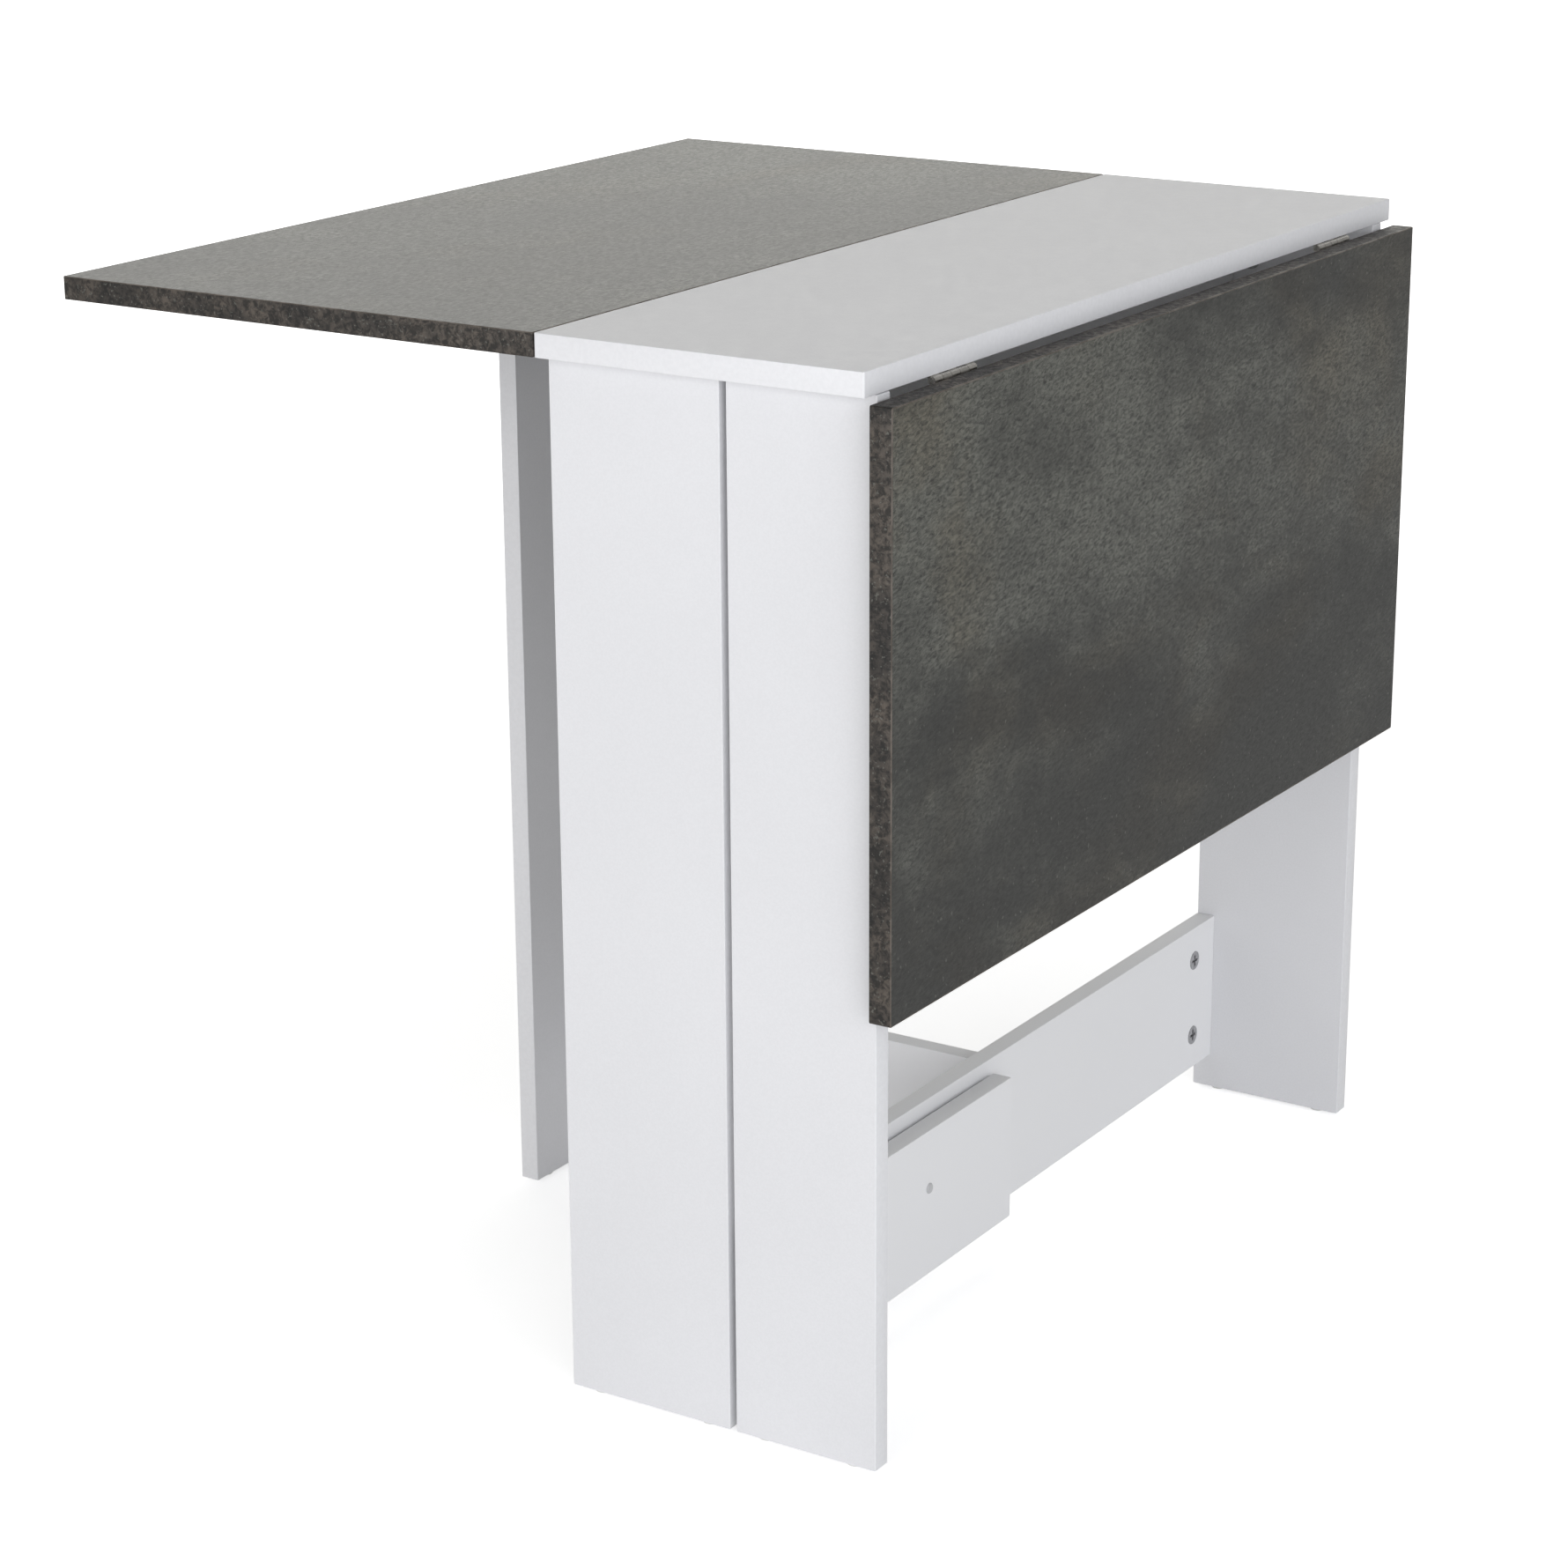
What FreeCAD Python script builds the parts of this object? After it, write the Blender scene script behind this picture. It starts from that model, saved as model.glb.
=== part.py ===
import FreeCAD, Part
import os
import re

import Sketcher

# Drop-leaf dining table: a fixed centre top on two end panels, two hinged leaves and two leg frames that
# swing out to carry them. Millimetres. X runs across the table, Y along it and Z up. The origin lies on the
# floor under the middle of the centre top. The left leaf (-X) is raised on its swung-out leg frame, and the
# right leaf (+X) hangs.

# Driving sizes
SIZES = {
    # centre top and leaves
    "table_height": 734,
    "top_width": 242,
    "top_length": 760,
    "top_thickness": 16,
    "leaf_width": 393,
    "leaf_joint_gap": 1,
    # edge bands
    "band_thickness": 0.8,
    "band_round": 0.6,
    # end panels
    "panel_thickness": 15,
    "panel_setback": 15,
    "fixed_panel_past_middle": 7.5,
    "panel_gap": 5,
    "leg_top_clearance": 0.5,
    # rails between the fixed panels
    "rail_thickness": 15,
    "lower_rail_rise": 30,
    "lower_rail_height": 120,
    "upper_rail_height": 90,
    # arms of the leg frames
    "arm_thickness": 15,
    "arm_gap": 3.5,
    "arm_end_clearance": 3,
    "lower_arm_height": 110,
    "upper_arm_height": 70,
    "upper_arm_drop": 16,
    "leg_pin_offset": 14,
    # butt hinges
    "hinge_length": 52,
    "hinge_plate_width": 22,
    "hinge_plate_thickness": 1.2,
    "knuckle_radius": 2.7,
    "knuckle_clearance": 0.3,
    "knuckle_end_clearance": 0.2,
    "hinge_pin_radius": 1.5,
    "hinge_pin_clearance": 0.05,
    "leaf_hinge_inset": 104,
    # hinge screws
    "screw_row": 13,
    "screw_pitch": 18,
    "screw_length": 12,
    "screw_shank_radius": 1.6,
    "screw_tip_length": 3,
    "screw_head_radius": 3.2,
    "screw_head_depth": 1.6,
    "screw_slot_span": 3.6,
    "screw_slot_width": 0.8,
    "screw_slot_depth": 0.9,
    # cam locks and their bolts
    "cam_radius": 7.5,
    "cam_depth": 12,
    "cam_proud": 0.3,
    "cam_setback": 34,
    "cam_slot_span": 9,
    "cam_slot_width": 2,
    "cam_slot_depth": 2.6,
    "lower_cam_spacing": 64,
    "upper_cam_spacing": 32,
    "top_cam_spacing": 70,
    "bolt_head_radius": 3.5,
    "bolt_head_length": 3,
    "bolt_shank_radius": 3,
    "bolt_thread_radius": 2.5,
    "bolt_grip": 11,
    # dowels
    "dowel_radius": 4,
    "dowel_length": 30,
    "dowel_in_top": 11,
    "dowel_spacing": 24,
    # glides
    "glide_height": 2,
    "glide_radius": 6,
    "glide_bevel": 0.6,
    "glide_inset": 20,
    "nail_radius": 0.9,
    "nail_length": 12,
    # round cap on the lower arm
    "cap_radius": 4,
    "cap_thickness": 1.2,
    "cap_bevel": 0.8,
    "cap_stem_radius": 2.5,
    "cap_stem_length": 6,
    "cap_from_pin": 121,
    "cap_rise": 66,
}

# Places and sizes worked out from the driving sizes
PLACES = {
    "half_width": "top_width / 2",
    "half_length": "top_length / 2",
    "underside": "table_height - top_thickness",
    "knuckle_reach": "knuckle_radius + knuckle_clearance",
    "pin_depth": "knuckle_reach",
    "leaf_pin_x": "half_width + leaf_joint_gap / 2",
    "leaf_pin_z": "underside - pin_depth",
    "leaf_hinge_y": "half_length - leaf_hinge_inset",
    "panel_face": "half_length - panel_setback - panel_thickness",
    "panel_middle": "panel_face + panel_thickness / 2",
    "fixed_panel_width": "half_width + fixed_panel_past_middle",
    "fixed_centre": "fixed_panel_past_middle - fixed_panel_width / 2",
    "rail_face": "rail_thickness / 2",
    "lower_rail_middle": "lower_rail_rise + lower_rail_height / 2",
    "upper_rail_middle": "underside - upper_rail_height / 2",
    "leg_pin_x": "rail_face + pin_depth",
    "leg_reach": "panel_face - leg_pin_offset",
    "leg_panel_middle": "leg_reach + panel_thickness / 2",
    "leg_panel_width": "half_width - fixed_panel_past_middle - panel_gap",
    "leg_edge": "fixed_panel_past_middle + panel_gap - leg_pin_x",
    "arm_inner": "arm_gap - pin_depth",
    "arm_middle": "arm_inner + arm_thickness / 2",
    "arm_outer": "arm_inner + arm_thickness",
    "lower_arm_middle": "lower_rail_rise + lower_arm_height / 2",
    "upper_arm_middle": "underside - upper_arm_drop - upper_arm_height / 2",
    # five knuckles share the length of a hinge
    "knuckle_pitch": "hinge_length / 5",
}

# The rounding of a board's edges takes up at most this share of its edge band.
BAND_ROUND_SHARE = 0.75

AXIS_X = FreeCAD.Vector(1, 0, 0)
AXIS_Y = FreeCAD.Vector(0, 1, 0)
AXIS_Z = FreeCAD.Vector(0, 0, 1)
HALF_TURN = FreeCAD.Rotation(AXIS_Z, 180)
HANGING = FreeCAD.Rotation(AXIS_Y, 90)
SWUNG_OUT = FreeCAD.Rotation(AXIS_Z, 90)

# A hinge half is drawn with its pin along Z, its plate towards +X and the plate's back towards +Y.
LEAF_PLATE_TURN = FreeCAD.Rotation(AXIS_X, 90)
TOP_PLATE_TURN = HALF_TURN * LEAF_PLATE_TURN
ARM_PLATE_TURN = FreeCAD.Rotation(AXIS_Z, -90)
RAIL_PLATE_TURN = FreeCAD.Rotation(AXIS_Y, 180) * ARM_PLATE_TURN

# Assembly frames: the base point and turn that carry an assembly from its own axes to the table's.
# A leaf and its hinges are drawn about the leaf's pin, raised, reaching towards +X. A leg frame and its
# hinges are drawn about the leg's pin, folded in, with the arms towards -Y. An end is drawn at the near
# end (-Y).
ORIGIN = ("0", "0", "0")
RIGHT_LEAF_PIN = ("leaf_pin_x", "0", "leaf_pin_z")
LEFT_LEAF_PIN = ("-leaf_pin_x", "0", "leaf_pin_z")
RIGHT_LEG_PIN = ("leg_pin_x", "-leg_pin_offset", "0")
LEFT_LEG_PIN = ("-leg_pin_x", "leg_pin_offset", "0")
UNTURNED = FreeCAD.Rotation()

TOP_EDGE_FRAMES = {"left": (LEFT_LEAF_PIN, HALF_TURN), "right": (RIGHT_LEAF_PIN, UNTURNED)}
LEAF_FRAMES = {"left": (LEFT_LEAF_PIN, HALF_TURN), "right": (RIGHT_LEAF_PIN, HANGING)}
RAIL_HINGE_FRAMES = {"left": (LEFT_LEG_PIN, HALF_TURN), "right": (RIGHT_LEG_PIN, UNTURNED)}
LEG_FRAMES = {"left": (LEFT_LEG_PIN, SWUNG_OUT * HALF_TURN), "right": (RIGHT_LEG_PIN, UNTURNED)}
END_FRAMES = {"near": (ORIGIN, UNTURNED), "far": (ORIGIN, HALF_TURN)}

doc = FreeCAD.newDocument("folding_table")
sheet = doc.addObject("Spreadsheet::Sheet", "sizes")
nodes = []


def fill_sheet():
    """Write every driving size into the sheet, each under its own alias."""
    for row, (name, value) in enumerate(SIZES.items(), start=1):
        sheet.set(f"A{row}", name)
        sheet.set(f"B{row}", str(value))
        sheet.setAlias(f"B{row}", name)
    doc.recompute()


# Helpers


def formula(text):
    """Turn the names in a formula into references to the sheet."""

    def reference(match):
        name = match.group()
        if name in PLACES:
            return f"({formula(PLACES[name])})"
        return f"sizes.{name}" if name in SIZES else name

    return re.sub("[a-z_]+", reference, text)


def bind(piece, **formulas):
    """Tie properties of a piece to formulas."""
    for name, text in formulas.items():
        piece.setExpression(name, formula(text))


def put(piece, base, turn=UNTURNED):
    """Turn a piece, and tie its base point to three formulas."""
    piece.Placement = FreeCAD.Placement(FreeCAD.Vector(), turn)
    for axis, text in zip("xyz", base):
        piece.setExpression(f"Placement.Base.{axis}", formula(text))
    return piece


def into(direction):
    """The turn that points a fastener, drawn along +Z, in a direction."""
    return FreeCAD.Rotation(AXIS_Z, direction)


def box(name, size, corner):
    """A box with its three edges and its lowest corner given by formulas."""
    piece = doc.addObject("Part::Box", name)
    bind(piece, Length=size[0], Width=size[1], Height=size[2])
    return put(piece, corner)


def rod(name, radius, length, base):
    """A round rod along +Z."""
    piece = doc.addObject("Part::Cylinder", name)
    bind(piece, Radius=radius, Height=length)
    return put(piece, base)


def fuse(name, pieces):
    """Several pieces made one."""
    piece = doc.addObject("Part::MultiFuse", name)
    piece.Shapes = pieces
    return piece


def cut(name, base, tool):
    """A piece with another cut out of it."""
    piece = doc.addObject("Part::Cut", name)
    piece.Base = base
    piece.Tool = tool
    return piece


def group(name, pieces, base=ORIGIN, turn=UNTURNED):
    """Pieces kept apart as separate solids, carried together to a place."""
    piece = doc.addObject("Part::Compound", name)
    piece.Links = pieces
    return put(piece, base, turn)


def node(label, pieces, frame=(ORIGIN, UNTURNED)):
    """A finished sub-part, carried from its assembly's frame to the table's."""
    piece = group(label, pieces, *frame)
    piece.Label = label
    nodes.append(piece)
    return piece


def turned(name, outline):
    """A piece turned about Z from (radius, height) formulas that start and end on the axis."""
    body = doc.addObject("PartDesign::Body", name)
    sketch = body.newObject("Sketcher::SketchObject", f"{name}_outline")
    planes = {plane.Role: plane for plane in body.Origin.OriginFeatures}
    sketch.AttachmentSupport = [(planes["XZ_Plane"], "")]
    sketch.MapMode = "FlatFace"
    count = len(outline)
    corners = [FreeCAD.Vector(0 if radius == "0" else 1, row, 0) for row, (radius, _) in enumerate(outline)]
    for row in range(count):
        sketch.addGeometry(Part.LineSegment(corners[row], corners[(row + 1) % count]))
    for row in range(count):
        sketch.addConstraint(Sketcher.Constraint("Coincident", row, 2, (row + 1) % count, 1))
    for row, (radius, height) in enumerate(outline):
        hold_corner(sketch, row, "DistanceX", radius, -2)
        hold_corner(sketch, row, "DistanceY", height, -1)
    turning = body.newObject("PartDesign::Revolution", f"{name}_turning")
    turning.Profile = sketch
    turning.ReferenceAxis = (sketch, ["V_Axis"])
    turning.Angle = 360
    return body


def hold_corner(sketch, row, kind, text, axis):
    """Hold one coordinate of an outline's corner: on the sketch axis for 0, otherwise at a formula."""
    if text == "0":
        sketch.addConstraint(Sketcher.Constraint("PointOnObject", row, 1, axis))
        return
    index = sketch.addConstraint(Sketcher.Constraint(kind, -1, 1, row, 1, 1.0))
    sketch.renameConstraint(index, f"{kind}_{row}")
    sketch.setExpression(f"Constraints.{kind}_{row}", formula(text))


def cross_slot(name, span, width, depth):
    """A screwdriver's cross, sunk from the plane z = 0 towards +Z."""
    along = box(f"{name}_along", (span, width, depth), (f"-{span} / 2", f"-{width} / 2", "0"))
    across = box(f"{name}_across", (width, span, depth), (f"-{width} / 2", f"-{span} / 2", "0"))
    return fuse(name, [along, across])


def banded_board(name, size, corner, flat):
    """A board's core and the edge band round it. flat is the axis, 0 to 2, that the board is thin along."""
    outline = box(f"{name}_outline", size, corner)
    doc.recompute()
    radius = min(sheet.band_round, BAND_ROUND_SHARE * sheet.band_thickness)
    rounded = doc.addObject("Part::Fillet", f"{name}_rounded")
    rounded.Base = outline
    rounded.Edges = [(edge, radius, radius) for edge in range(1, len(outline.Shape.Edges) + 1)]
    core_size = [text if axis == flat else f"{text} - 2 * band_thickness" for axis, text in enumerate(size)]
    core_corner = [text if axis == flat else f"{text} + band_thickness" for axis, text in enumerate(corner)]
    core = box(f"{name}_core", core_size, core_corner)
    return core, cut(f"{name}_band", rounded, core)


# Fasteners, each drawn along +Z from the surface that it goes into


def make_screw():
    """A countersunk screw: the plain form that makes its seat, and the screw with its cross slot."""
    seat = turned(
        "screw_seat",
        [
            ("0", "0"),
            ("screw_head_radius", "0"),
            ("screw_shank_radius", "screw_head_depth"),
            ("screw_shank_radius", "screw_length - screw_tip_length"),
            ("0", "screw_length"),
        ],
    )
    slot = cross_slot("screw_slot", "screw_slot_span", "screw_slot_width", "screw_slot_depth")
    return seat, cut("screw", seat, slot)


def make_cam():
    """A cam lock: the plain drum that makes its seat, and the drum with its cross slot."""
    seat = rod("cam_seat", "cam_radius", "cam_depth + cam_proud", ORIGIN)
    slot = cross_slot("cam_slot", "cam_slot_span", "cam_slot_width", "cam_slot_depth")
    return seat, cut("cam", seat, slot)


def make_bolt():
    """A cam bolt, from the middle of its cam to the end of its thread in the joined board."""
    return turned(
        "cam_bolt",
        [
            ("0", "0"),
            ("bolt_head_radius", "0"),
            ("bolt_head_radius", "bolt_head_length"),
            ("bolt_shank_radius", "bolt_head_length"),
            ("bolt_shank_radius", "cam_setback"),
            ("bolt_thread_radius", "cam_setback"),
            ("bolt_thread_radius", "cam_setback + bolt_grip"),
            ("0", "cam_setback + bolt_grip"),
        ],
    )


def make_glide():
    """A nail-in glide: a low bevelled button that stands on the floor, and its nail."""
    return turned(
        "glide",
        [
            ("0", "0"),
            ("glide_radius - glide_bevel", "0"),
            ("glide_radius", "glide_bevel"),
            ("glide_radius", "glide_height"),
            ("nail_radius", "glide_height"),
            ("nail_radius", "glide_height + nail_length"),
            ("0", "glide_height + nail_length"),
        ],
    )


def make_cap():
    """A push-in cap: a thin bevelled disc that starts its own thickness outside the surface, and a stem."""
    return turned(
        "cap",
        [
            ("0", "-cap_thickness"),
            ("cap_radius - cap_bevel", "-cap_thickness"),
            ("cap_radius", "cap_bevel - cap_thickness"),
            ("cap_radius", "0"),
            ("cap_stem_radius", "0"),
            ("cap_stem_radius", "cap_stem_length"),
            ("0", "cap_stem_length"),
        ],
    )


def spread(name, master, places, direction):
    """Copies of a fastener at several places, all pointing the same way."""
    turn = into(direction)
    copies = [group(f"{name}_{index}", [master], place, turn) for index, place in enumerate(places)]
    return group(name, copies)


# Hinges: five knuckles on one pin, three on the fixed half and two on the moving half


def make_plate_screws(name, master, back):
    """The row of screws of a hinge plate whose back lies at the distance back from the pin."""
    face = f"{back} - hinge_plate_thickness"
    rows = [f"{step} * screw_pitch" for step in (-1, 0, 1)]
    return spread(name, master, [("screw_row", face, row) for row in rows], AXIS_Y)


def make_hinge_half(name, own, other, back, seats):
    """A hinge plate with its own knuckles, notched round the other half's, bored and countersunk."""
    plate = box(
        f"{name}_plate",
        ("hinge_plate_width", "hinge_plate_thickness", "hinge_length"),
        ("0", f"{back} - hinge_plate_thickness", "-hinge_length / 2"),
    )
    notches = []
    notch_height = "2 * knuckle_reach + hinge_plate_thickness"
    for step in other:
        size = ("2 * knuckle_reach", notch_height, "knuckle_pitch + 2 * knuckle_end_clearance")
        start = f"({step} - 0.5) * knuckle_pitch - knuckle_end_clearance"
        corner = ("-knuckle_reach", "-knuckle_reach", start)
        notches.append(box(f"{name}_notch", size, corner))
    notched = cut(f"{name}_notched", plate, fuse(f"{name}_notches", notches))
    knuckles = []
    for step in own:
        base = ("0", "0", f"({step} - 0.5) * knuckle_pitch + knuckle_end_clearance")
        length = "knuckle_pitch - 2 * knuckle_end_clearance"
        knuckles.append(rod(f"{name}_knuckle", "knuckle_radius", length, base))
    joined = fuse(f"{name}_joined", [notched] + knuckles)
    bore_base = ("0", "0", "-hinge_length / 2")
    bore = rod(f"{name}_bore", "hinge_pin_radius + hinge_pin_clearance", "hinge_length", bore_base)
    return cut(name, joined, fuse(f"{name}_openings", [bore, seats]))


def make_hinge_pin():
    """A hinge pin as long as its knuckles."""
    return rod("hinge_pin", "hinge_pin_radius", "hinge_length", ("0", "0", "-hinge_length / 2"))


# Build: fastener and hinge masters
fill_sheet()
screw_seat, screw = make_screw()
cam_seat, cam = make_cam()
bolt = make_bolt()
glide = make_glide()
cap = make_cap()
dowel = rod("dowel", "dowel_radius", "dowel_length", ORIGIN)
hinge_pin = make_hinge_pin()

FIXED_KNUCKLES = (-2, 0, 2)
MOVING_KNUCKLES = (-1, 1)
plate_screws = make_plate_screws("plate_screws", screw, "pin_depth")
plate_seats = make_plate_screws("plate_seats", screw_seat, "pin_depth")
arm_screws = make_plate_screws("arm_plate_screws", screw, "arm_inner")
arm_seats = make_plate_screws("arm_plate_seats", screw_seat, "arm_inner")
fixed_half = make_hinge_half("fixed_half", FIXED_KNUCKLES, MOVING_KNUCKLES, "pin_depth", plate_seats)
leaf_half = make_hinge_half("leaf_half", MOVING_KNUCKLES, FIXED_KNUCKLES, "pin_depth", plate_seats)
arm_half = make_hinge_half("arm_half", MOVING_KNUCKLES, FIXED_KNUCKLES, "arm_inner", arm_seats)

LEAF_HINGES = {"near": ("0", "-leaf_hinge_y", "0"), "far": ("0", "leaf_hinge_y", "0")}
LEG_HINGES = {"lower": ("0", "0", "lower_arm_middle"), "upper": ("0", "0", "upper_arm_middle")}


def at_hinges(name, master, places, turn):
    """One copy of a hinge piece at each of an assembly's hinges."""
    return [group(f"{name}_{spot}", [master], base, turn) for spot, base in places.items()]


# Leaves


def make_leaf(side):
    """A leaf with its edge band, hinge plates and screws."""
    frame = LEAF_FRAMES[side]
    name = f"{side}_leaf"
    core, band = banded_board(
        f"{name}_board",
        ("leaf_width", "top_length", "top_thickness"),
        ("leaf_joint_gap / 2", "-half_length", "pin_depth"),
        flat=2,
    )
    seats = group(f"{name}_seats", at_hinges(f"{name}_seat", plate_seats, LEAF_HINGES, LEAF_PLATE_TURN))
    node(name, [cut(f"{name}_drilled", core, seats)], frame)
    node(f"{name}_edge_band", [band], frame)
    for spot, base in LEAF_HINGES.items():
        plate = group(f"{name}_{spot}_plate", [leaf_half], base, LEAF_PLATE_TURN)
        node(f"{name}_{spot}_hinge_leaf_plate", [plate], frame)
    screws = at_hinges(f"{name}_screw", plate_screws, LEAF_HINGES, LEAF_PLATE_TURN)
    node(f"{name}_hinge_screws", screws, frame)


# Leg frames


def make_leg(side):
    """A leg frame: panel with edge band, two arms, hinge plates, cam joints, glides and the cap."""
    frame = LEG_FRAMES[side]
    name = f"{side}_leg"
    cam_places, bolt_places = arm_cam_places()
    cam_seats = spread(f"{name}_cam_seats", cam_seat, cam_places, -AXIS_X)
    cams = spread(f"{name}_cams", cam, cam_places, -AXIS_X)
    bolts = spread(f"{name}_bolts", bolt, bolt_places, -AXIS_Y)
    glides = spread(f"{name}_glide_set", glide, leg_glide_places(), AXIS_Z)
    cap_place = ("arm_outer", "-cap_from_pin", "lower_rail_rise + cap_rise")
    arm_cap = spread(f"{name}_cap_set", cap, [cap_place], -AXIS_X)
    screw_seats = at_hinges(f"{name}_seat", arm_seats, LEG_HINGES, ARM_PLATE_TURN)
    seats = fuse(f"{name}_seats", [cam_seats, bolts, glides, arm_cap] + screw_seats)

    core, band = banded_board(
        f"{name}_panel_board",
        ("leg_panel_width", "panel_thickness", "underside - leg_top_clearance - glide_height"),
        ("leg_edge", "-leg_reach - panel_thickness", "glide_height"),
        flat=1,
    )
    node(f"{name}_panel", [cut(f"{name}_panel_drilled", core, seats)], frame)
    node(f"{name}_panel_edge_band", [cut(f"{name}_band_drilled", band, seats)], frame)
    for spot in LEG_HINGES:
        size = ("arm_thickness", "leg_reach - arm_end_clearance", f"{spot}_arm_height")
        corner = ("arm_inner", "-leg_reach", f"{spot}_arm_middle - {spot}_arm_height / 2")
        arm = box(f"{name}_{spot}_arm_board", size, corner)
        node(f"{name}_{spot}_arm", [cut(f"{name}_{spot}_arm_drilled", arm, seats)], frame)
        plate = group(f"{name}_{spot}_plate", [arm_half], LEG_HINGES[spot], ARM_PLATE_TURN)
        node(f"{name}_{spot}_hinge_arm_plate", [plate], frame)
    screws = at_hinges(f"{name}_screw", arm_screws, LEG_HINGES, ARM_PLATE_TURN)
    node(f"{name}_hinge_screws", screws, frame)
    node(f"{name}_cam_locks", [cut(f"{name}_cams_bored", cams, bolts)], frame)
    node(f"{name}_cam_bolts", [bolts], frame)
    node(f"{name}_glides", [glides], frame)
    node(f"{name}_arm_cap", [arm_cap], frame)


def arm_cam_places():
    """Where the cams sit on the arms' outer faces, and where their bolts start."""
    cams = []
    bolts = []
    y = "cam_setback - leg_reach"
    for spot in ("lower", "upper"):
        for sign in "+-":
            z = f"{spot}_arm_middle {sign} {spot}_cam_spacing / 2"
            cams.append(("arm_outer + cam_proud", y, z))
            bolts.append(("arm_middle", y, z))
    return cams, bolts


def leg_glide_places():
    """Two glides under the leg panel, in from its edges."""
    y = "-leg_panel_middle"
    return [("leg_edge + glide_inset", y, "0"), ("leg_edge + leg_panel_width - glide_inset", y, "0")]


# Fixed frame


def end_cam_places():
    """The cam joints of one end: for each, the places and direction of its cams and of its bolts."""
    y = "cam_setback - panel_face"
    rail_cams = []
    rail_bolts = []
    for spot in ("lower", "upper"):
        for sign in "+-":
            z = f"{spot}_rail_middle {sign} {spot}_cam_spacing / 2"
            rail_cams.append(("-rail_face - cam_proud", y, z))
            rail_bolts.append(("0", y, z))
    top_cams = []
    top_bolts = []
    for sign in "+-":
        x = f"fixed_centre {sign} top_cam_spacing / 2"
        z = "underside - cam_setback"
        top_cams.append((x, "cam_proud - panel_face", z))
        top_bolts.append((x, "-panel_middle", z))
    return [(rail_cams, AXIS_X, rail_bolts, -AXIS_Y), (top_cams, -AXIS_Y, top_bolts, AXIS_Z)]


def dowel_places():
    """Two dowels from the fixed panel up into the centre top."""
    z = "underside + dowel_in_top - dowel_length"
    return [(f"fixed_centre {sign} dowel_spacing / 2", "-panel_middle", z) for sign in "+-"]


def fixed_glide_places():
    """Two glides under the fixed panel, in from its edges."""
    y = "-panel_middle"
    return [("glide_inset - half_width", y, "0"), ("fixed_panel_past_middle - glide_inset", y, "0")]


def at_both_ends(name, piece):
    """A near-end piece and its half-turned copy at the far end."""
    return group(name, [group(f"{name}_{end}", [piece], *frame) for end, frame in END_FRAMES.items()])


def make_frame_fasteners():
    """The frame's fasteners, written as nodes, and all their seats made one cutting tool."""
    cams = []
    cam_seats = []
    bolts = []
    for index, (cam_places, cam_way, bolt_places, bolt_way) in enumerate(end_cam_places()):
        cams.append(spread(f"end_cams_{index}", cam, cam_places, cam_way))
        cam_seats.append(spread(f"end_cam_seats_{index}", cam_seat, cam_places, cam_way))
        bolts.append(spread(f"end_bolts_{index}", bolt, bolt_places, bolt_way))
    all_cams = at_both_ends("all_cams", group("end_cams", cams))
    all_cam_seats = at_both_ends("all_cam_seats", group("end_cam_seats", cam_seats))
    all_bolts = at_both_ends("all_bolts", group("end_bolts", bolts))
    all_dowels = at_both_ends("all_dowels", spread("end_dowels", dowel, dowel_places(), AXIS_Z))
    all_glides = at_both_ends("all_glides", spread("end_glides", glide, fixed_glide_places(), AXIS_Z))
    node("frame_cam_locks", [cut("all_cams_bored", all_cams, all_bolts)])
    node("frame_cam_bolts", [all_bolts])
    node("frame_dowels", [all_dowels])
    node("frame_glides", [all_glides])

    screw_seats = []
    screws = {"leaf": [], "leg": []}
    for kind, frames, places, turn in (
        ("leaf", TOP_EDGE_FRAMES, LEAF_HINGES, TOP_PLATE_TURN),
        ("leg", RAIL_HINGE_FRAMES, LEG_HINGES, RAIL_PLATE_TURN),
    ):
        for side, frame in frames.items():
            name = f"frame_{side}_{kind}"
            seats = at_hinges(f"{name}_seat", plate_seats, places, turn)
            screw_seats.append(group(f"{name}_seats", seats, *frame))
            own_screws = at_hinges(f"{name}_screw", plate_screws, places, turn)
            screws[kind].append(group(f"{name}_screws", own_screws, *frame))
    node("leaf_hinge_top_screws", screws["leaf"])
    node("leg_hinge_rail_screws", screws["leg"])
    return fuse("frame_seats", [all_cam_seats, all_bolts, all_dowels, all_glides] + screw_seats)


def make_fixed_hinge_pieces():
    """The hinge plates on the centre top and the rails, with the pins."""
    for side, frame in TOP_EDGE_FRAMES.items():
        name = f"{side}_leaf"
        for spot, base in LEAF_HINGES.items():
            plate = group(f"{name}_{spot}_fixed", [fixed_half], base, TOP_PLATE_TURN)
            node(f"{name}_{spot}_hinge_top_plate", [plate], frame)
        node(f"{name}_hinge_pins", at_hinges(f"{name}_pin", hinge_pin, LEAF_HINGES, TOP_PLATE_TURN), frame)
    for side, frame in RAIL_HINGE_FRAMES.items():
        name = f"{side}_leg"
        for spot, base in LEG_HINGES.items():
            plate = group(f"{name}_{spot}_fixed", [fixed_half], base, RAIL_PLATE_TURN)
            node(f"{name}_{spot}_hinge_rail_plate", [plate], frame)
        node(f"{name}_hinge_pins", at_hinges(f"{name}_pin", hinge_pin, LEG_HINGES, RAIL_PLATE_TURN), frame)


def make_centre_top(seats):
    """The fixed centre top and its edge band."""
    core, band = banded_board(
        "center_top_board",
        ("top_width", "top_length", "top_thickness"),
        ("-half_width", "-half_length", "underside"),
        flat=2,
    )
    node("center_top", [cut("center_top_drilled", core, seats)])
    node("center_top_edge_band", [band])


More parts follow.
